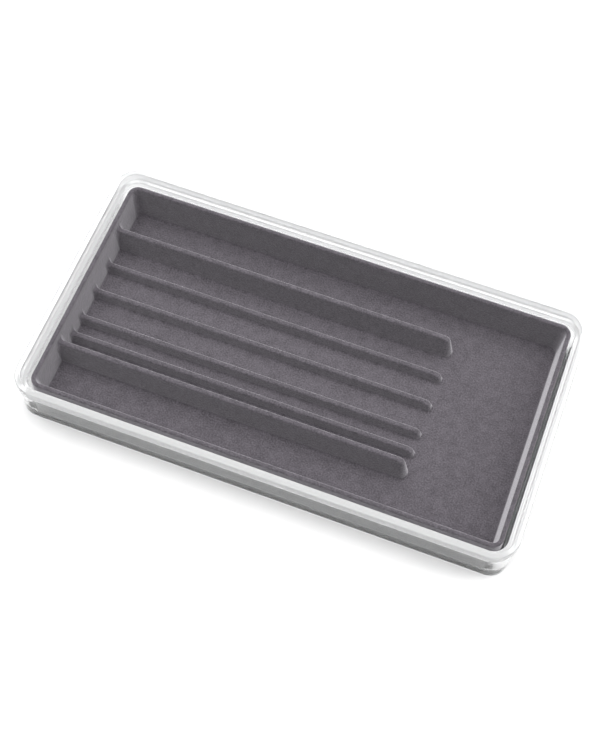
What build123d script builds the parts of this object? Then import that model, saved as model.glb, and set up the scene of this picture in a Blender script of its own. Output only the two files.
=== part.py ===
from build123d import *
import math
import os

# Clear stacking drawer tray with a flocked jewellery liner standing in it.
# Millimetres. X runs along the tray, Y across it towards the rear, Z up.
# The origin is the middle of the tray's flat base.

# Overall size of the tray
tray_length = 355.6
tray_width = 196.85
tray_height = 38.1
tray_corner_radius = 18.0

# Lower body of the tray, under the collar
body_inset = 2.3
body_draft_run = 0.3
body_corner_radius = 13.0
foot_height = 1.5
stack_clearance = 0.35
floor_thickness = 3.0
well_draft_run = 0.5
well_floor_break = 1.6

# Collar round the top of the tray, with its lip and the ledge inside it
collar_height = 7.5
lip_thickness = 4.1
lip_draft_run = 0.45
recess_depth = 5.9
ledge_width = 2.95

# Rounded and broken edges of the tray, as shares of what carries them
lip_edge_share = 0.2
lip_break_share = 0.1
collar_break_share = 0.2
foot_break_share = 0.3

# Flocked liner, a thin formed sheet
sheet = 1.2
seat_gap = 0.2
liner_gap = 2.7
rim_hollow_width = 0.8
rim_drop = 0.2
rim_corner_radius = 8.0
skirt_depth = 12.0
skirt_slack = 0.2
wall_run = 2.6
foot_corner_radius = 6.0

# Ridges between the channels of the liner
low_ridge_height = 8.0
tall_ridge_height = 19.6
ridge_hollow_width = 1.6
ridge_draft_degrees = 10.3
crest_radius = 7.5
crest_lap_share = 0.01
bangle_bay_length = 68.8
rear_channel_pitch = 29.6
strand_pitch = 23.3
ring_pitch = 15.0

# Roundings of the liner, as shares of what carries them
rim_round_share = 0.46
ridge_round_share = 0.42
ridge_nose_share = 0.48
foot_round_share = 0.31

# Two levels closer than this are one level
same_level = 0.01


# Levels of the tray, from its base
collar_level = tray_height - collar_height
ledge_level = tray_height - recess_depth
body_rise = collar_level - foot_height
well_rise = ledge_level - floor_thickness

# Insets of the tray's faces from its outer outline
recess_foot_inset = lip_thickness + lip_draft_run
well_top_inset = recess_foot_inset + ledge_width
well_foot_inset = well_top_inset + well_draft_run
foot_inset = recess_foot_inset + stack_clearance


def tray_outline(inset):
    """The tray's rounded outline drawn in by an inset, its corners round the same centres."""
    return RectangleRounded(
        tray_length - 2 * inset, tray_width - 2 * inset, tray_corner_radius - inset
    )


def body_outline():
    """The outline of the tray's lower body at its foot, drawn in by its draft."""
    inset = body_inset + body_draft_run
    return RectangleRounded(
        tray_length - 2 * inset, tray_width - 2 * inset, body_corner_radius - body_draft_run
    )


def draft_degrees(run, rise):
    """The angle by which a wall leans when it runs out so far over its rise."""
    return math.degrees(math.atan2(run, rise))


def edges_round(part, level, outer):
    """The edges round the outside, or round the hole, of the flat face nearest to a level."""
    face = part.faces().filter_by(Plane.XY).sort_by(lambda f: abs(f.center().Z - level))[0]
    wires = [face.outer_wire()] if outer else face.inner_wires()
    return [edge for wire in wires for edge in wire.edges()]


def edges_at(part, level):
    """The edges that lie flat at a level."""
    flat = part.edges().filter_by(lambda e: e.bounding_box().size.Z < same_level)
    return flat.filter_by(lambda e: abs(e.center().Z - level) < same_level)


# Clear tray: locating foot, drafted lower body, collar, well for the liner and recess
with BuildPart() as clear_tray:
    with BuildSketch(Plane.XY):
        tray_outline(foot_inset)
    extrude(amount=foot_height)
    with BuildSketch(Plane.XY.offset(foot_height)):
        body_outline()
    extrude(amount=body_rise, taper=-draft_degrees(body_draft_run, body_rise))
    with BuildSketch(Plane.XY.offset(collar_level)):
        tray_outline(0)
    extrude(amount=collar_height)
    with BuildSketch(Plane.XY.offset(floor_thickness)):
        tray_outline(well_foot_inset)
    extrude(amount=well_rise, taper=-draft_degrees(well_draft_run, well_rise), mode=Mode.SUBTRACT)
    with BuildSketch(Plane.XY.offset(ledge_level)):
        tray_outline(recess_foot_inset)
    extrude(amount=recess_depth, taper=-draft_degrees(lip_draft_run, recess_depth), mode=Mode.SUBTRACT)
    chamfer(edges_round(clear_tray.part, floor_thickness, outer=True), well_floor_break)
    chamfer(edges_round(clear_tray.part, tray_height, outer=True), lip_edge_share * lip_thickness)
    chamfer(edges_round(clear_tray.part, tray_height, outer=False), lip_break_share * lip_thickness)
    chamfer(edges_round(clear_tray.part, collar_level, outer=True), collar_break_share * body_inset)
    chamfer(edges_round(clear_tray.part, 0, outer=True), foot_break_share * foot_height)
clear_tray.part.label = "clear_tray"


# Levels of the liner
liner_base = floor_thickness + seat_gap
liner_floor = liner_base + sheet
rim_level = ledge_level - rim_drop
skirt_level = rim_level - skirt_depth

# Sizes of the liner in plan, from the well it stands in
rim_width = 2 * sheet + rim_hollow_width
liner_length = tray_length - 2 * (well_top_inset + liner_gap)
liner_width = tray_width - 2 * (well_top_inset + liner_gap)
foot_length = liner_length - 2 * (rim_width + wall_run)
foot_width = liner_width - 2 * (rim_width + wall_run)

# Ridges, from the rear to the front: place across the tray and height
ridge_tan = math.tan(math.radians(ridge_draft_degrees))
ridge_cos = math.cos(math.radians(ridge_draft_degrees))
ridge_shell = sheet * (1 / ridge_cos - ridge_tan)
ridge_top_width = ridge_hollow_width + 2 * ridge_shell
rear_ridge_y = foot_width / 2 - rear_channel_pitch
ridges = [
    (rear_ridge_y, tall_ridge_height),
    (rear_ridge_y - strand_pitch, low_ridge_height),
    (rear_ridge_y - 2 * strand_pitch, low_ridge_height),
    (rear_ridge_y - 3 * strand_pitch, low_ridge_height),
    (rear_ridge_y - 3 * strand_pitch - ring_pitch, low_ridge_height),
    (rear_ridge_y - 3 * strand_pitch - 2 * ring_pitch, tall_ridge_height),
]
ridge_end = foot_length / 2 - bangle_bay_length
hollow_start = liner_length / 2 - sheet - skirt_slack + (skirt_level - liner_base) * ridge_tan

# Roundings of the liner; the narrowest slot's floor carries the one at the foot of the walls
narrow_floor = ring_pitch - ridge_top_width - (low_ridge_height + tall_ridge_height) * ridge_tan
rim_round = rim_round_share * rim_width
ridge_round = ridge_round_share * ridge_top_width
foot_round = foot_round_share * narrow_floor


def liner_outline(inset, corner_radius):
    """The liner's rounded outline drawn in from its rim by an inset."""
    return RectangleRounded(liner_length - 2 * inset, liner_width - 2 * inset, corner_radius)


def crest_axis(height):
    """Where the crest of a ridge turns down about, along the tray and up, a lap beyond tangent."""
    level = liner_floor + height - crest_radius
    inside = crest_radius * (1 - crest_lap_share)
    return ridge_end - inside / ridge_cos - (level - liner_floor) * ridge_tan, level


def ridge_feet(height, start, end, shell):
    """The feet of the ridges of one height, from a distance left of the middle to their noses."""
    width = ridge_top_width + 2 * height * ridge_tan - 2 * shell
    with Locations(*[((end - start) / 2, y) for y, ridge_height in ridges if ridge_height == height]):
        Rectangle(start + end, width)


def crest_corner(turn, across, level):
    """The corner over a turned-down crest, from the top of its turn out past the nose."""
    Polyline(
        turn @ 1,
        (across, level + 2 * crest_radius),
        (across + 2 * crest_radius, level + 2 * crest_radius),
        (across + 2 * crest_radius, (turn @ 0).Y),
        turn @ 0,
    )


def nose_corners(sketch):
    """The corners of the ridge feet at their noses."""
    return sketch.vertices().group_by(Axis.X)[-1]


# Ridges, each drafted all round, its crest turned down at the nose and rounded
with BuildPart() as ridge_forms:
    for ridge_height in (low_ridge_height, tall_ridge_height):
        nose = ridge_nose_share * ridge_top_width + ridge_height * ridge_tan
        crest_x, crest_level = crest_axis(ridge_height)
        with BuildSketch(Plane.XY.offset(liner_floor)) as feet:
            ridge_feet(ridge_height, liner_length / 2 + nose, ridge_end, 0)
            fillet(nose_corners(feet), nose)
        extrude(amount=ridge_height, taper=ridge_draft_degrees)
        with BuildSketch(Plane.XZ):
            with BuildLine():
                turn = CenterArc(
                    (crest_x, crest_level), crest_radius, ridge_draft_degrees, 90 - ridge_draft_degrees
                )
                crest_corner(turn, crest_x, crest_level)
            make_face()
        extrude(amount=liner_width / 2, both=True, mode=Mode.SUBTRACT)
        caps = ridge_forms.faces().filter_by(lambda f: f.center().Z > crest_level)
        caps = caps.filter_by(Plane.XY) + caps.filter_by(GeomType.CYLINDER)
        crest_edges = ShapeList(edge for cap in caps for edge in cap.edges())
        fillet(crest_edges.filter_by(Axis.Y, reverse=True), ridge_round)

# Hollows under the ridges, a sheet's thickness inside them, noses and crests cut flat
with BuildPart() as ridge_hollows:
    for ridge_height in (low_ridge_height, tall_ridge_height):
        nose = ridge_nose_share * ridge_top_width + ridge_height * ridge_tan - ridge_shell
        crest_x, crest_level = crest_axis(ridge_height)
        with BuildSketch(Plane.XY.offset(liner_base)) as feet:
            ridge_feet(ridge_height, hollow_start, ridge_end - ridge_shell, ridge_shell)
            chamfer(nose_corners(feet), nose)
        extrude(amount=ridge_height, taper=ridge_draft_degrees)
        with BuildSketch(Plane.XZ):
            with BuildLine():
                turn = Line(
                    (crest_x + crest_radius - sheet, crest_level),
                    (crest_x, crest_level + crest_radius - sheet),
                )
                crest_corner(turn, crest_x, crest_level)
            make_face()
        extrude(amount=liner_width / 2, both=True, mode=Mode.SUBTRACT)

# Open space inside the liner, over its floor and ridges
with BuildPart() as liner_space:
    with BuildSketch(Plane.XY.offset(liner_floor)):
        liner_outline(rim_width + wall_run, foot_corner_radius)
    with BuildSketch(Plane.XY.offset(rim_level)):
        liner_outline(rim_width, rim_corner_radius - rim_width)
    loft()
    add(ridge_forms.part, mode=Mode.SUBTRACT)
    fillet(edges_at(liner_space.part, liner_floor), foot_round)

# Flocked liner: turned-down skirt, rolled rim, drafted walls, and ridges hollow underneath
with BuildPart() as flocked_liner:
    with BuildSketch(Plane.XY.offset(skirt_level)):
        liner_outline(0, rim_corner_radius)
    extrude(amount=skirt_depth)
    with BuildSketch(Plane.XY.offset(skirt_level)):
        liner_outline(sheet, rim_corner_radius - sheet)
    extrude(amount=skirt_depth - sheet, mode=Mode.SUBTRACT)
    with BuildSketch(Plane.XY.offset(liner_base)):
        liner_outline(rim_width + wall_run - sheet, foot_corner_radius + sheet)
    with BuildSketch(Plane.XY.offset(rim_level)):
        liner_outline(rim_width - sheet, rim_corner_radius - rim_width + sheet)
    loft()
    add(liner_space.part, mode=Mode.SUBTRACT)
    fillet(edges_round(flocked_liner.part, rim_level, outer=True), rim_round)
    fillet(edges_round(flocked_liner.part, rim_level, outer=False), rim_round)
    add(ridge_hollows.part, mode=Mode.SUBTRACT)

flocked_liner.part.label = "flocked_liner"

os.makedirs("parts", exist_ok=True)
export_step(clear_tray.part, "parts/clear_tray.step")
export_step(flocked_liner.part, "parts/flocked_liner.step")
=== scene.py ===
import bpy
import numpy as np
from bpy.props import FloatProperty, FloatVectorProperty, PointerProperty
from mathutils import Matrix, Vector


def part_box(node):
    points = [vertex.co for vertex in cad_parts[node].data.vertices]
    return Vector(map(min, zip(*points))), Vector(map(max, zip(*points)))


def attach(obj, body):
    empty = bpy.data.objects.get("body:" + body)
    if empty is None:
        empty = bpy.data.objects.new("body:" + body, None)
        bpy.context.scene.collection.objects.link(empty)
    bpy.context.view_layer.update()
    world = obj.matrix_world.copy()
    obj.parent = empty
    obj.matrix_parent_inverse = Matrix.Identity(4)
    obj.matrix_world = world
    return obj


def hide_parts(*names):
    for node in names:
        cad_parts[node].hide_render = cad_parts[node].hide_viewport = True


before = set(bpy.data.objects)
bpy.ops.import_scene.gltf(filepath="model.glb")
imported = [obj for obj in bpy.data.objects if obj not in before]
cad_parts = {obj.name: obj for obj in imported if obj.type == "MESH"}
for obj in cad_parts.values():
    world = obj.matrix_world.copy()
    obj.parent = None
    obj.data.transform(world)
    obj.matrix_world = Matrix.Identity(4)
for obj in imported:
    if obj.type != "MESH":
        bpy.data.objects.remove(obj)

bl_info = {
    "name": "Clear stacking jewellery tray",
    "version": (1, 0, 0),
    "blender": (4, 5, 0),
    "location": "View3D > Sidebar > Tray",
    "description": "Builds a clear stacking tray and the flocked liner that lifts out of it",
    "category": "Add Mesh",
}

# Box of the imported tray, in metres
TRAY_LOW, TRAY_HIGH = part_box("clear_tray")
TRAY_LENGTH = TRAY_HIGH[0] - TRAY_LOW[0]
TRAY_WIDTH = TRAY_HIGH[1] - TRAY_LOW[1]
TRAY_HEIGHT = TRAY_HIGH[2] - TRAY_LOW[2]
LINER_LOW, LINER_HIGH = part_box("flocked_liner")
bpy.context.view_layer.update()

# How finely the tray's surface is divided: steps round an edge, round a corner and along a side
EDGE_STEPS = 7
CORNER_STEPS = 24
SIDE_STEPS = 16
# How far the tray's flat underside and floor start inside their rounded edges, and the least
# corner radius in plan, in metres
FLAT_START = 0.006
LEAST_RADIUS = 0.0004

# How finely the liner's surface is divided: steps round an edge, lines along a crest's turn, along
# the ridges and along the bay
PROFILE_STEPS = 6
TURN_LINES = 9
RIDGE_LINES = 12
BAY_LINES = 7
# The greatest distance between rows of a wall and the least between grid lines, in metres
ROW_SIZE = 0.0035
LINE_GAP = 0.00008
# The most that a flare moves a line, as a share of the gap between two ridges' feet
GAP_SHARE = 0.45
# How far past a nose's foot its rings ease off, and how far beyond the noses the bay's lines
# begin, both in foot roundings
EASE_ROUNDS = 2 / 3
BAY_START_ROUNDS = 3
# Where along the bay the corners' shift begins, as a share of its length from the noses
FREE_SHARE = 1 / 3

# Noise values between which the flock goes from its darkest to its lightest
GRAIN_RANGE = (0.35, 0.65)

# Studio: places and sizes in metres, the camera's axes as fitted to the photograph, and its lens
# and sensor in millimetres
KEY_PLACE, KEY_SIZE = (-0.15, 0.12, 1.3), 2.0
FILL_PLACE, FILL_SIZE = (1.1, 0.5, 0.9), 1.0
CAMERA_PLACE = (0.1433, -0.437, 0.8754)
CAMERA_RIGHT = (0.93615, 0.35108, 0.01930)
CAMERA_UP = (-0.31918, 0.82549, 0.46551)
CAMERA_BACK = (0.14750, -0.44194, 0.88483)
CAMERA_LENS = 67.15
SENSOR_WIDTH = 36.0
CLIP_START = 0.01


def length(name, default, description, low=0.0):
    """A size in metres that a user may change."""
    return FloatProperty(
        name=name, default=default, description=description, min=low, precision=5,
        subtype="DISTANCE", unit="LENGTH",
    )


def colour(name, default, description):
    """A linear colour that a user may change."""
    return FloatVectorProperty(
        name=name, default=default, description=description, size=3, min=0.0, max=1.0,
        subtype="COLOR",
    )


def share(name, default, description):
    """A share from 0 to 1 that a user may change."""
    return FloatProperty(
        name=name, default=default, description=description, min=0.0, max=1.0, subtype="FACTOR"
    )


class TraySettings(bpy.types.PropertyGroup):
    """Sizes and finish of the clear tray."""

    corner_radius: length("Corner radius", 0.018, "Radius of the collar's corners in plan")
    body_corner_radius: length("Body corner radius", 0.013, "Radius of the lower body's corners")
    body_inset: length("Body inset", 0.0023, "How far the lower body lies inside the collar")
    body_draft: length("Body draft", 0.0003, "How far the lower body leans in towards its foot")
    foot_height: length("Foot height", 0.0015, "Height of the locating foot")
    foot_inset: length("Foot inset", 0.0049, "How far the foot lies inside the collar")
    floor_thickness: length("Floor", 0.003, "Thickness of the floor")
    collar_height: length("Collar height", 0.0075, "Height of the collar round the top")
    lip_thickness: length("Lip", 0.0041, "Thickness of the lip at the top")
    lip_draft: length("Lip draft", 0.00045, "How far the lip's inner face leans in")
    recess_depth: length("Recess depth", 0.0059, "Depth of the stacking recess")
    ledge_width: length("Ledge", 0.00295, "Width of the ledge in the recess")
    well_draft: length("Well draft", 0.0005, "How far the well's wall leans in")
    foot_round: length("Foot rounding", 0.0004, "Radius of the edges where foot and body meet")
    edge_round: length("Edge rounding", 0.0006, "Radius of the base's, collar's and ledge's edges")
    root_round: length("Root rounding", 0.0008, "Radius under the collar and inside the lip's top")
    lip_round: length("Lip rounding", 0.001, "Radius of the lip's outer edge")
    well_round: length("Well rounding", 0.003, "Radius where the well's wall meets its floor")
    tint: colour("Tint", (0.93, 0.935, 0.94), "Colour that the plastic gives to light")
    body_clarity: share("Body clarity", 0.99, "Share of light that goes through the body")
    collar_clarity: share("Collar clarity", 0.62, "Share of light that goes through the collar")
    milky_run: length("Milky run", 0.009, "Height below the collar over which it turns clear")
    shade_run: length("Shade run", 0.0015, "Height over the floor at which shadows are full")
    body_roughness: share("Body roughness", 0.02, "How dull the body's surface is")
    collar_roughness: share("Collar roughness", 0.04, "How dull the collar's surface is")
    refraction: FloatProperty(
        name="Refraction", default=1.49, min=1.0, max=2.0, description="Index of refraction"
    )


class LinerSettings(bpy.types.PropertyGroup):
    """Sizes and finish of the flocked liner."""

    sheet: length("Sheet", 0.0012, "Thickness of the flocked sheet")
    rim_width: length("Rim width", 0.0032, "Width of the rolled rim")
    rim_corner_radius: length("Rim corner radius", 0.008, "Radius of the rim's corners in plan")
    rim_roll: length("Rim roll", 0.00145, "Radius of the roll on each side of the rim")
    skirt_depth: length("Skirt depth", 0.012, "How far the rim turns down outside")
    wall_run: length("Wall run", 0.0026, "How far the walls lean in towards the floor")
    foot_corner_radius: length("Floor corner radius", 0.006, "Radius of the floor's corners")
    foot_round: length("Foot rounding", 0.0021, "Radius where walls and ridges meet the floor")
    low_ridge: length("Low ridge", 0.008, "Height of the low ridges")
    tall_ridge: length("Tall ridge", 0.0196, "Height of the two tall ridges")
    ridge_top: length("Ridge top", 0.0036, "Width of a ridge's top before it is rounded")
    ridge_round: length("Ridge rounding", 0.00155, "Radius of a ridge's top edges")
    ridge_draft: FloatProperty(
        name="Ridge draft", default=0.17977, min=0.0, max=1.0, subtype="ANGLE", unit="ROTATION",
        description="How far a ridge's sides lean from upright",
    )
    crest_radius: length("Crest turn", 0.0075, "Radius that a ridge's crest turns down by")
    flare_radius: length("Wall flare", 0.003, "Radius by which a ridge grows into the end wall")
    bay_length: length("Bay", 0.0688, "Length of the open bay beyond the ridges")
    rear_pitch: length("Rear channel", 0.0296, "Rear wall's foot to the rear ridge's middle")
    strand_pitch: length("Strand channels", 0.0233, "Pitch of the strand channels")
    ring_pitch: length("Ring slots", 0.015, "Pitch of the ring slots")
    flock: colour("Flock", (0.082, 0.0745, 0.085), "Colour of the flock")
    pile_sheen: colour("Sheen", (0.84, 0.82, 0.86), "Colour of the sheen at grazing angles")
    sheen_weight: share("Sheen weight", 1.0, "Strength of the sheen")
    sheen_roughness: share("Sheen roughness", 0.46, "How far the sheen reaches from the edges")
    mottling: share("Mottling", 0.36, "How far the grain lightens and darkens the flock")
    grain_share: share("Grain share", 0.75, "Share of the grain, against the brush marks")
    roughness: share("Roughness", 0.95, "How dull the flock is")
    shine: share("Shine", 0.1, "Strength of the flock's reflections")
    pile_depth: length("Pile", 0.0005, "Depth of the pile's grain")
    pile_strength: share("Pile strength", 0.6, "How far the pile's grain turns the light")
    grain: FloatProperty(name="Grain", default=900.0, min=1.0, description="Grains per metre")
    brush_marks: FloatProperty(
        name="Brush marks", default=160.0, min=1.0, description="Brush marks per metre"
    )


class StageSettings(bpy.types.PropertyGroup):
    """Floor and light round the tray."""

    floor: colour("Floor", (0.9, 0.9, 0.9), "Colour of the floor")
    floor_roughness: share("Floor roughness", 0.9, "How dull the floor is")
    floor_size: length("Floor size", 6.0, "Side of the square floor", low=1.0)
    key_power: FloatProperty(name="Top light", default=38.0, min=0.0, description="Watts")
    fill_power: FloatProperty(name="Fill light", default=10.0, min=0.0, description="Watts")
    surround: share("Surround", 0.33, "Strength of the even light from all round")


class Rings:
    """Direction numbers round a rounded rectangle, the same for every ring of a profile.

    A ring point is x = u (half length - radius) + radius cos a, and y = v (half width - radius)
    + radius sin a. On a corner u and v are plus or minus 1 and a turns by a quarter; along a
    side a holds still and u or v runs from one corner to the next.
    """

    def __init__(self, corner_steps, side_steps):
        quarter = np.linspace(0.0, np.pi / 2, corner_steps + 1)
        run = np.linspace(1.0, -1.0, side_steps + 1)[1:-1]
        u, v, a = [], [], []
        for k, (cu, cv) in enumerate(((1, 1), (-1, 1), (-1, -1), (1, -1))):
            turn = k * np.pi / 2
            u += [np.full(quarter.size, cu), run * cu if k % 2 == 0 else np.full(run.size, cu)]
            v += [np.full(quarter.size, cv), np.full(run.size, cv) if k % 2 == 0 else run * cv]
            a += [quarter + turn, np.full(run.size, turn + np.pi / 2)]
        self.u, self.v, self.a = np.concatenate(u), np.concatenate(v), np.concatenate(a)

    def place(self, half_x, half_y, radius):
        """Ring points for arrays of half sizes and radii, one row per ring."""
        hx, hy, r = (np.asarray(q)[:, None] for q in (half_x, half_y, radius))
        x = self.u * (hx - r) + r * np.cos(self.a)
        y = self.v * (hy - r) + r * np.sin(self.a)
        return x, y


def rounded_profile(corners, steps):
    """A polyline of (inset, height, radius offset) with each corner rounded by its radius.

    An arc's centre lies on the corner's bisector, radius / sin(half the corner's angle) from the
    corner, and the arc touches the sides radius / tan(half the angle) from it. Its points are the
    spokes to its start and end, weighted by the sines of the angle left and the angle gone, over
    the sine of the whole arc's angle.
    """
    points = [np.array(corners[0][:3], float)[None]]
    for before, here, after in zip(corners, corners[1:], corners[2:]):
        p, q, r = (np.array(c[:2], float) for c in (before, here, after))
        to_p, to_r = (p - q) / np.linalg.norm(p - q), (r - q) / np.linalg.norm(r - q)
        half = np.arccos(np.clip(to_p @ to_r, -1, 1)) / 2
        reach = here[3] / np.tan(half)
        middle = q + (to_p + to_r) / np.linalg.norm(to_p + to_r) * here[3] / np.sin(half)
        start, end = q + to_p * reach - middle, q + to_r * reach - middle
        whole = np.pi - 2 * half
        gone = np.linspace(0, 1, steps + 1)[:, None] * whole
        arc = (np.sin(whole - gone) * start + np.sin(gone) * end) / np.sin(whole)
        points.append(np.column_stack((middle + arc, np.full(steps + 1, here[2]))))
    points.append(np.array(corners[-1][:3], float)[None])
    return np.concatenate(points)


def new_object(name, vertices, faces, material, body, node):
    """A smooth mesh object from arrays, riding on a body in place of a solid."""
    mesh = bpy.data.meshes.new(name)
    mesh.from_pydata(vertices.tolist(), [], faces)
    mesh.polygons.foreach_set("use_smooth", np.ones(len(mesh.polygons), dtype=bool))
    mesh.materials.append(material)
    if mesh.validate():
        raise RuntimeError(f"{name} has faces that Blender had to mend")
    mesh.update()
    piece = bpy.data.objects.new(name, mesh)
    bpy.context.scene.collection.objects.link(piece)
    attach(piece, body)
    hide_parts(node)
    return piece


def new_material(name):
    """A new node material, with its nodes, its links and its surface shader."""
    material = bpy.data.materials.new(name)
    material.use_nodes = True
    nodes, links = material.node_tree.nodes, material.node_tree.links
    return material, nodes, links, nodes["Principled BSDF"]


def by_height(material, start, end, low, high):
    """A number that runs from low to high between two heights of the object."""
    nodes, links = material.node_tree.nodes, material.node_tree.links
    place = nodes.new("ShaderNodeTexCoord")
    parts = nodes.new("ShaderNodeSeparateXYZ")
    blend = nodes.new("ShaderNodeMapRange")
    links.new(place.outputs["Object"], parts.inputs["Vector"])
    links.new(parts.outputs["Z"], blend.inputs["Value"])
    blend.inputs["From Min"].default_value = start
    blend.inputs["From Max"].default_value = end
    blend.inputs["To Min"].default_value = low
    blend.inputs["To Max"].default_value = high
    return blend


def clear_plastic(settings):
    """Clear moulded plastic that turns milky and duller from the body up to the thick collar.

    The clear floor lets the lamps' light through to what is under it, because light that is bent
    by a solid is not followed to the lamps. The walls above it cast a full shadow.
    """
    material, nodes, links, shader = new_material("clear_moulded_plastic")
    shader.inputs["Base Color"].default_value = (*settings.tint, 1.0)
    shader.inputs["IOR"].default_value = settings.refraction
    collar = TRAY_HEIGHT - settings.collar_height
    for socket, body, top in (
        ("Transmission Weight", settings.body_clarity, settings.collar_clarity),
        ("Roughness", settings.body_roughness, settings.collar_roughness),
    ):
        blend = by_height(material, collar - settings.milky_run, collar, body, top)
        links.new(blend.outputs["Result"], shader.inputs[socket])
    floor = settings.floor_thickness
    passing = by_height(material, floor, floor + settings.shade_run, 0.0, 0.0)
    ray = nodes.new("ShaderNodeLightPath")
    clear = nodes.new("ShaderNodeBsdfTransparent")
    clear.inputs["Color"].default_value = (*settings.tint, 1.0)
    mix = nodes.new("ShaderNodeMixShader")
    links.new(ray.outputs["Is Shadow Ray"], passing.inputs["To Min"])
    links.new(passing.outputs["Result"], mix.inputs["Fac"])
    links.new(shader.outputs["BSDF"], mix.inputs[1])
    links.new(clear.outputs["BSDF"], mix.inputs[2])
    links.new(mix.outputs["Shader"], nodes["Material Output"].inputs["Surface"])
    return material


def flock(settings):
    """Short flock: a fine grain and broader brush marks vary its colour, the grain its pile."""
    material, nodes, links, shader = new_material("purple_grey_flock")
    shader.inputs["Roughness"].default_value = settings.roughness
    shader.inputs["Specular IOR Level"].default_value = settings.shine
    shader.inputs["Sheen Weight"].default_value = settings.sheen_weight
    shader.inputs["Sheen Roughness"].default_value = settings.sheen_roughness
    shader.inputs["Sheen Tint"].default_value = (*settings.pile_sheen, 1.0)
    place = nodes.new("ShaderNodeTexCoord")
    brushed = nodes.new("ShaderNodeTexNoise")
    brushed.inputs["Scale"].default_value = settings.brush_marks
    grain = nodes.new("ShaderNodeTexNoise")
    grain.inputs["Scale"].default_value = settings.grain
    for texture in (brushed, grain):
        links.new(place.outputs["Object"], texture.inputs["Vector"])
    blend = nodes.new("ShaderNodeMix")
    blend.data_type = "FLOAT"
    blend.inputs["Factor"].default_value = settings.grain_share
    links.new(brushed.outputs["Fac"], blend.inputs["A"])
    links.new(grain.outputs["Fac"], blend.inputs["B"])
    shade = nodes.new("ShaderNodeValToRGB")
    dark, light = shade.color_ramp.elements
    dark.position, light.position = GRAIN_RANGE
    dark.color = (*(c * (1.0 - settings.mottling) for c in settings.flock), 1.0)
    light.color = (*(c * (1.0 + settings.mottling) for c in settings.flock), 1.0)
    links.new(blend.outputs["Result"], shade.inputs["Fac"])
    links.new(shade.outputs["Color"], shader.inputs["Base Color"])
    bump = nodes.new("ShaderNodeBump")
    bump.inputs["Strength"].default_value = settings.pile_strength
    bump.inputs["Distance"].default_value = settings.pile_depth
    links.new(grain.outputs["Fac"], bump.inputs["Height"])
    links.new(bump.outputs["Normal"], shader.inputs["Normal"])
    return material


class TRAY_OT_clear_tray(bpy.types.Operator):
    """Adds the clear moulded tray, one profile carried round a rounded rectangle"""

    bl_idname = "tray.clear_tray"
    bl_label = "Add clear tray"

    def execute(self, context):
        s = context.scene.tray_settings
        collar = TRAY_HEIGHT - s.collar_height
        ledge = TRAY_HEIGHT - s.recess_depth
        recess = s.lip_thickness + s.lip_draft
        well = recess + s.ledge_width
        body = s.body_corner_radius - s.corner_radius + s.body_inset
        corners = [
            (s.foot_inset + FLAT_START, 0.0, 0.0, 0.0),
            (s.foot_inset, 0.0, 0.0, s.edge_round),
            (s.foot_inset, s.foot_height, 0.0, s.foot_round),
            (s.body_inset + s.body_draft, s.foot_height, body, s.foot_round),
            (s.body_inset, collar, body, s.root_round),
            (0.0, collar, 0.0, s.edge_round),
            (0.0, TRAY_HEIGHT, 0.0, s.lip_round),
            (s.lip_thickness, TRAY_HEIGHT, 0.0, s.root_round),
            (recess, ledge, 0.0, s.edge_round),
            (well, ledge, 0.0, s.edge_round),
            (well + s.well_draft, s.floor_thickness, 0.0, s.well_round),
            (well + s.well_draft + FLAT_START, s.floor_thickness, 0.0, 0.0),
        ]
        inset, height, offset = rounded_profile(corners, EDGE_STEPS).T
        rings = Rings(CORNER_STEPS, SIDE_STEPS)
        x, y = rings.place(
            TRAY_LENGTH / 2 - inset, TRAY_WIDTH / 2 - inset,
            np.maximum(s.corner_radius - inset + offset, LEAST_RADIUS),
        )
        z = np.repeat(height[:, None], x.shape[1], axis=1)
        vertices = np.stack((x, y, z), axis=-1).reshape(-1, 3)
        faces = ring_faces(*x.shape)
        last = (x.shape[0] - 1) * x.shape[1]
        faces.append(list(range(x.shape[1]))[::-1])
        faces.append(list(range(last, last + x.shape[1])))
        new_object(
            "clear_stacking_tray", vertices, faces, clear_plastic(s), "tray",
            "clear_tray",
        )
        return {"FINISHED"}


def ring_faces(rows, columns):
    """Quads between neighbouring rings, closed round each ring."""
    index = np.arange(rows * columns).reshape(rows, columns)
    side = np.roll(index, -1, axis=1)
    quads = np.stack((index[:-1], side[:-1], side[1:], index[1:]), axis=-1)
    return quads.reshape(-1, 4).tolist()


class Lines:
    """Grid lines across the liner: inner lines, and wall lines that count outwards from them."""

    def __init__(self, inner, rows):
        self.end = inner[-1]
        wall = np.arange(1, rows)
        self.depth = np.concatenate((wall[::-1], np.zeros(inner.size, int), wall))
        self.place = np.concatenate(
            (np.full(wall.size, inner[0]), inner, np.full(wall.size, inner[-1]))
        )

    def spread(self, free):
        """How much of a corner's shift a line takes: 0 up to a free place, 1 at the ends."""
        return np.clip((np.abs(self.place) - free) / (self.end - free), 0.0, 1.0)


def distinct(values):
    """Sorted values without those that follow another by less than LINE_GAP."""
    values = np.sort(values)
    return values[np.concatenate(([True], np.diff(values) > LINE_GAP))]


def arc_drop(radius, run):
    """How far a quarter circle has left its tangent: radius - sqrt(radius ** 2 - run ** 2)."""
    return radius - np.sqrt(radius**2 - np.clip(run, 0.0, radius) ** 2)


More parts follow.
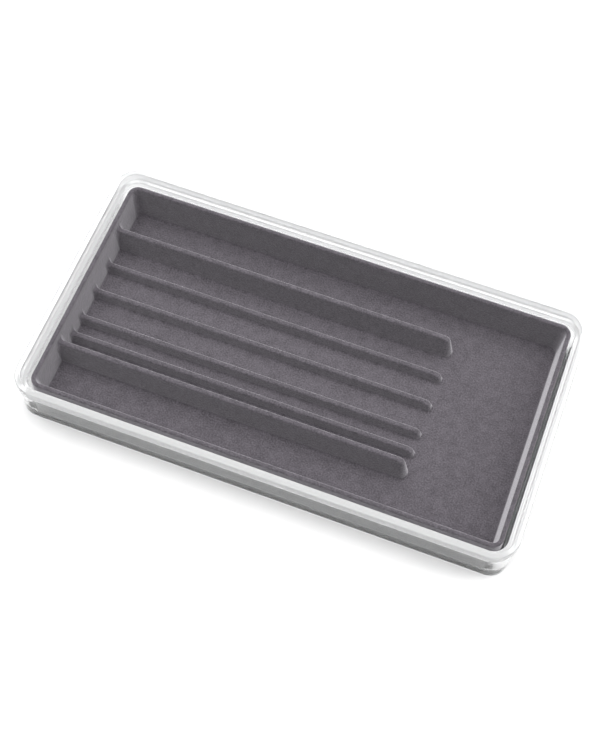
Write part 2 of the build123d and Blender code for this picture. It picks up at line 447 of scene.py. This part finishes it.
class Ridge:
    """One height of ridge: its profile, its rounded nose and its flare at the end wall.

    Across the ridge the side is the line z = (half foot - distance) / tan(draft). The upper
    profile leaves it for the rounded top, the lower profile for the rounded foot. Both run on by
    twice the ridge's height. The turn is where the crest starts to turn down, the shoulder where
    the rounded top begins and the reach where the rounded foot ends.
    """

    def __init__(self, s, height, nose, wall):
        self.slope = np.tan(s.ridge_draft)
        self.crest_radius, self.flare_radius = s.crest_radius, s.flare_radius
        self.half_foot = s.ridge_top / 2 + height * self.slope
        self.centre = nose - self.half_foot
        self.wall = wall
        over = 2 * height
        below = self.half_foot + over * self.slope
        top, foot = (s.ridge_top / 2, height), (self.half_foot, 0.0)
        self.upper = rounded_profile(
            [(-over, height, 0, 0), (*top, 0, s.ridge_round), (below, -over, 0, 0)], PROFILE_STEPS
        )[:, :2]
        self.lower = rounded_profile(
            [(*top, 0, 0), (*foot, 0, s.foot_round), (self.half_foot + over, 0, 0, 0)],
            PROFILE_STEPS,
        )[:, :2]
        reach = s.crest_radius / np.cos(s.ridge_draft)
        self.turn = nose - reach - (height - s.crest_radius) * self.slope
        self.shoulder, self.reach = self.upper[1, 0], self.lower[-2, 0]

    def lines(self):
        """Distances from the middle line at which the profile bends."""
        bends = np.concatenate((self.upper[1:-1, 0], self.lower[1:-1, 0]))
        return np.concatenate(([0.0], bends[bends > 0]))

    def turns(self):
        """Places along the tray at which the turning crest bends."""
        return self.turn + self.crest_radius * np.sin(np.linspace(0.0, np.pi / 2, TURN_LINES))

    def lift(self, x):
        """How far the ridge has grown upwards and sideways on its way into the end wall."""
        return arc_drop(self.flare_radius, self.flare_radius - x - self.wall)

    def rise(self, x, off):
        """Height over the floor: upper(distance - fall tan) - fall + lower(distance) - side line.

        The distance is from the ridge's middle line, or from the nose's centre beyond it, less
        the lift at the end wall. The fall is the crest's drop at the nose less the same lift.
        """
        lift = self.lift(x)
        fall = arc_drop(self.crest_radius, x - self.turn) - lift
        away = np.maximum(np.hypot(np.maximum(x - self.centre, 0.0), off) - lift, 0.0)
        side = (self.half_foot - away) / self.slope
        near = np.clip(away, 0.0, self.lower[-1, 0])
        lower = np.where(away < self.lower[0, 0], side, np.interp(near, *self.lower.T))
        place = away - fall * self.slope
        upper = np.where(place > self.upper[-1, 0], side + fall, np.interp(place, *self.upper.T))
        return np.where(away > self.reach, 0.0, upper - fall + lower - side)


def wall_rows(s, outline_x, outline_y, floor, rim):
    """Half sizes, corner radius and height of each row, from the floor out to the skirt's edge."""
    foot = s.rim_width + s.wall_run
    centre = foot + s.foot_corner_radius
    corners = [
        (centre, floor, 0.0, 0.0),
        (foot, floor, 0.0, s.foot_round),
        (s.rim_width, rim, 0.0, s.rim_roll),
        (0.0, rim, 0.0, s.rim_roll),
        (0.0, rim - s.skirt_depth, 0.0, 0.0),
    ]
    inset, level, _ = rounded_profile(corners, PROFILE_STEPS).T
    between = [np.linspace(p, q, n, endpoint=False) for p, q, n in zip(
        range(inset.size - 1), range(1, inset.size), row_counts(inset, level)
    )]
    index = np.append(np.concatenate(between), inset.size - 1)
    inset = np.interp(index, np.arange(inset.size), inset)
    level = np.interp(index, np.arange(level.size), level)
    radius = np.interp(
        inset,
        (0.0, s.rim_width, foot, centre),
        (s.rim_corner_radius, s.rim_corner_radius - s.rim_width, s.foot_corner_radius, 0.0),
    )
    return outline_x - inset, outline_y - inset, radius, level


def row_counts(inset, level):
    """How many rows each stretch of the profile is divided into, so that none is over ROW_SIZE."""
    run = np.hypot(np.diff(inset), np.diff(level))
    return np.maximum(np.ceil(run / ROW_SIZE), 1).astype(int)


def liner_surface(s):
    """Grid of the liner's upper face, rows along X and columns along Y.

    Each node has a depth, the greater of its lines' depths, and lies on the rounded rectangle of
    that depth; at a corner its angle from the nearer axis is an eighth of a turn times the lesser
    depth over the greater. The height is the wall's or the ridges', whichever is higher. Nodes are
    drawn round each nose and spread with each flare, so that their lines follow the ridges' edges.
    """
    floor, rim = LINER_LOW[2] + s.sheet, LINER_HIGH[2]
    outline_x = (LINER_HIGH[0] - LINER_LOW[0]) / 2
    outline_y = (LINER_HIGH[1] - LINER_LOW[1]) / 2
    half_x, half_y, radius, level = wall_rows(s, outline_x, outline_y, floor, rim)
    end_x, end_y = half_x[0], half_y[0]

    foot = s.rim_width + s.wall_run
    rear = outline_y - foot - s.rear_pitch
    front = rear - 3 * s.strand_pitch
    ridges = (
        (front - 2 * s.ring_pitch, s.tall_ridge), (front - s.ring_pitch, s.low_ridge),
        (front, s.low_ridge), (rear - 2 * s.strand_pitch, s.low_ridge),
        (rear - s.strand_pitch, s.low_ridge), (rear, s.tall_ridge),
    )
    nose = outline_x - foot - s.bay_length
    lean = s.wall_run / (rim - floor)
    kinds = {}
    for height in (s.low_ridge, s.tall_ridge):
        wall = outline_x - foot + (height + s.flare_radius) * lean
        kinds[height] = Ridge(s, height, nose, wall)

    across = [np.array([-end_y, end_y])]
    for middle, height in ridges:
        across += [middle - kinds[height].lines(), middle + kinds[height].lines()]
    first_turn = kinds[s.tall_ridge].turn
    beyond = nose + BAY_START_ROUNDS * s.foot_round
    along = [np.linspace(-end_x, first_turn, RIDGE_LINES), np.linspace(beyond, end_x, BAY_LINES)]
    for kind in kinds.values():
        along += [kind.centre + kind.lines(), kind.turns()]
    lines_x = Lines(distinct(np.concatenate(along)), level.size)
    lines_y = Lines(distinct(np.concatenate(across)), level.size)

    depth_x, depth_y = np.meshgrid(lines_x.depth, lines_y.depth, indexing="ij")
    depth = np.maximum(depth_x, depth_y)
    lesser = np.minimum(depth_x, depth_y) / np.maximum(depth, 1)
    angle = np.where(depth_x >= depth_y, lesser, 2.0 - lesser) * np.pi / 4
    x, y = np.meshgrid(lines_x.place, lines_y.place, indexing="ij")
    x, y = round_noses(x, y, ridges, kinds, ease=EASE_ROUNDS * s.foot_round)
    free_x = nose + (end_x - nose) * FREE_SHARE
    free_y = (rear + end_y) / 2
    shift_x = lines_x.spread(free_x)[:, None] * (half_x - radius - end_x)[depth]
    shift_y = lines_y.spread(free_y)[None, :] * (half_y - radius - end_y)[depth]
    out = np.where(depth > 0, radius[depth], 0.0)
    x = x + np.sign(x) * (shift_x + out * np.cos(angle))
    y = y + np.sign(y) * (shift_y + out * np.sin(angle))
    y = spread_flares(x, y, ridges, kinds, free_y)

    z = level[depth]
    for middle, height in ridges:
        z = np.maximum(z, floor + kinds[height].rise(x, y - middle))
    z = np.where(depth >= np.argmax(level), level[depth], np.minimum(z, rim))
    return np.stack((x, y, z), axis=-1)


def round_noses(x, y, ridges, kinds, ease):
    """Draws square rings of nodes round beyond each nose's centre, easing off past the foot."""
    for middle, height in ridges:
        centre, reach = kinds[height].centre, kinds[height].reach
        du, dv = x - centre, y - middle
        ring = np.maximum(du, np.abs(dv))
        lesser = np.minimum(np.maximum(du, 0.0), np.abs(dv)) / np.maximum(ring, LINE_GAP)
        angle = np.where(du > np.abs(dv), lesser, 2.0 - lesser) * np.pi / 4
        rounded = np.clip((reach + ease - ring) / ease, 0.0, 1.0) * (du > 0)
        x = x + rounded * (centre + ring * np.cos(angle) - x)
        y = y + rounded * (middle + np.sign(dv) * ring * np.sin(angle) - y)
    return x, y


def spread_flares(x, y, ridges, kinds, free):
    """Moves nodes sideways by the lift of the ridge they are on.

    The full lift is taken from a ridge's shoulder to its foot. It turns over on the ridge's top,
    runs over to the next ridge's between their feet, and ends at a free place by each side wall.
    """
    knots = [-free]
    for middle, height in ridges:
        shoulder, reach = kinds[height].shoulder, kinds[height].reach
        knots += [middle - reach, middle - shoulder, middle + shoulder, middle + reach]
    knots.append(free)
    between_feet = np.diff(knots)[4:-1:4]
    limit = between_feet.min() * GAP_SHARE
    shift = np.zeros_like(y)
    for own, kind in kinds.items():
        signs = [sign * (height == own) for _, height in ridges for sign in (-1, -1, 1, 1)]
        shift += np.interp(y, knots, [0, *signs, 0]) * np.minimum(kind.lift(x), limit)
    return y + shift


class TRAY_OT_flocked_liner(bpy.types.Operator):
    """Adds the flocked liner, one formed sheet with walls, ridges and a rolled rim"""

    bl_idname = "tray.flocked_liner"
    bl_label = "Add flocked liner"

    def execute(self, context):
        s = context.scene.liner_settings
        surface = liner_surface(s)
        rows, columns = surface.shape[:2]
        index = np.arange(rows * columns).reshape(rows, columns)
        quads = np.stack((index[:-1, :-1], index[1:, :-1], index[1:, 1:], index[:-1, 1:]), axis=-1)
        liner = new_object(
            "flocked_channel_liner", surface.reshape(-1, 3), quads.reshape(-1, 4).tolist(),
            flock(s), "liner", "flocked_liner",
        )
        thickness = liner.modifiers.new("sheet", "SOLIDIFY")
        thickness.thickness = s.sheet
        thickness.offset = -1.0
        return {"FINISHED"}


class TRAY_OT_stage(bpy.types.Operator):
    """Adds the pale floor, the soft studio light and the camera"""

    bl_idname = "tray.stage"
    bl_label = "Add floor, light and camera"

    def execute(self, context):
        s = context.scene.stage_settings
        half = s.floor_size / 2
        mesh = bpy.data.meshes.new("studio_floor")
        corners = [(-half, -half, 0), (half, -half, 0), (half, half, 0), (-half, half, 0)]
        mesh.from_pydata(corners, [], [(0, 1, 2, 3)])
        material, _, _, shader = new_material("pale_floor")
        shader.inputs["Base Color"].default_value = (*s.floor, 1.0)
        shader.inputs["Roughness"].default_value = s.floor_roughness
        mesh.materials.append(material)
        floor = bpy.data.objects.new("studio_floor", mesh)
        context.scene.collection.objects.link(floor)
        soft_light("key_light", KEY_PLACE, KEY_SIZE, s.key_power)
        soft_light("fill_light", FILL_PLACE, FILL_SIZE, s.fill_power)
        world = bpy.data.worlds.new("studio_surround")
        world.use_nodes = True
        back = world.node_tree.nodes["Background"]
        back.inputs["Color"].default_value = (1.0, 1.0, 1.0, 1.0)
        back.inputs["Strength"].default_value = s.surround
        context.scene.world = world
        context.scene.view_settings.view_transform = "Standard"
        camera = bpy.data.objects.new("photo_camera", bpy.data.cameras.new("photo_camera"))
        camera.data.lens = CAMERA_LENS
        camera.data.sensor_width = SENSOR_WIDTH
        camera.data.clip_start = CLIP_START
        turn = Matrix((CAMERA_RIGHT, CAMERA_UP, CAMERA_BACK)).transposed().to_4x4()
        camera.matrix_world = Matrix.Translation(CAMERA_PLACE) @ turn
        context.scene.collection.objects.link(camera)
        context.scene.camera = camera
        return {"FINISHED"}


def soft_light(name, place, size, power):
    """A square area light at a place, facing the middle of the tray."""
    data = bpy.data.lights.new(name, "AREA")
    data.shape = "SQUARE"
    data.size = size
    data.energy = power
    light = bpy.data.objects.new(name, data)
    light.location = place
    light.rotation_mode = "QUATERNION"
    light.rotation_quaternion = light.location.to_track_quat("Z", "Y")
    bpy.context.scene.collection.objects.link(light)


class TRAY_PT_panel(bpy.types.Panel):
    """Lists the tray's pieces and their sizes"""

    bl_label = "Jewellery tray"
    bl_idname = "TRAY_PT_panel"
    bl_space_type = "VIEW_3D"
    bl_region_type = "UI"
    bl_category = "Tray"

    def draw(self, context):
        for settings, operator in PANEL_ROWS:
            box = self.layout.box()
            box.operator(operator)
            group = getattr(context.scene, settings)
            for name in group.bl_rna.properties.keys():
                if name not in ("rna_type", "name"):
                    box.prop(group, name)


PANEL_ROWS = (
    ("tray_settings", "tray.clear_tray"),
    ("liner_settings", "tray.flocked_liner"),
    ("stage_settings", "tray.stage"),
)
SETTINGS = {
    "tray_settings": TraySettings,
    "liner_settings": LinerSettings,
    "stage_settings": StageSettings,
}
CLASSES = (
    *SETTINGS.values(), TRAY_OT_clear_tray, TRAY_OT_flocked_liner, TRAY_OT_stage, TRAY_PT_panel
)


def register():
    """Adds the classes and their settings to Blender."""
    for cls in CLASSES:
        bpy.utils.register_class(cls)
    for name, cls in SETTINGS.items():
        setattr(bpy.types.Scene, name, PointerProperty(type=cls))


def unregister():
    """Takes the settings and classes out again."""
    for name in SETTINGS:
        delattr(bpy.types.Scene, name)
    for cls in reversed(CLASSES):
        bpy.utils.unregister_class(cls)


def main():
    """Builds every piece and the stage."""
    register()
    bpy.ops.tray.clear_tray()
    bpy.ops.tray.flocked_liner()
    bpy.ops.tray.stage()


if __name__ == "__main__":
    main()
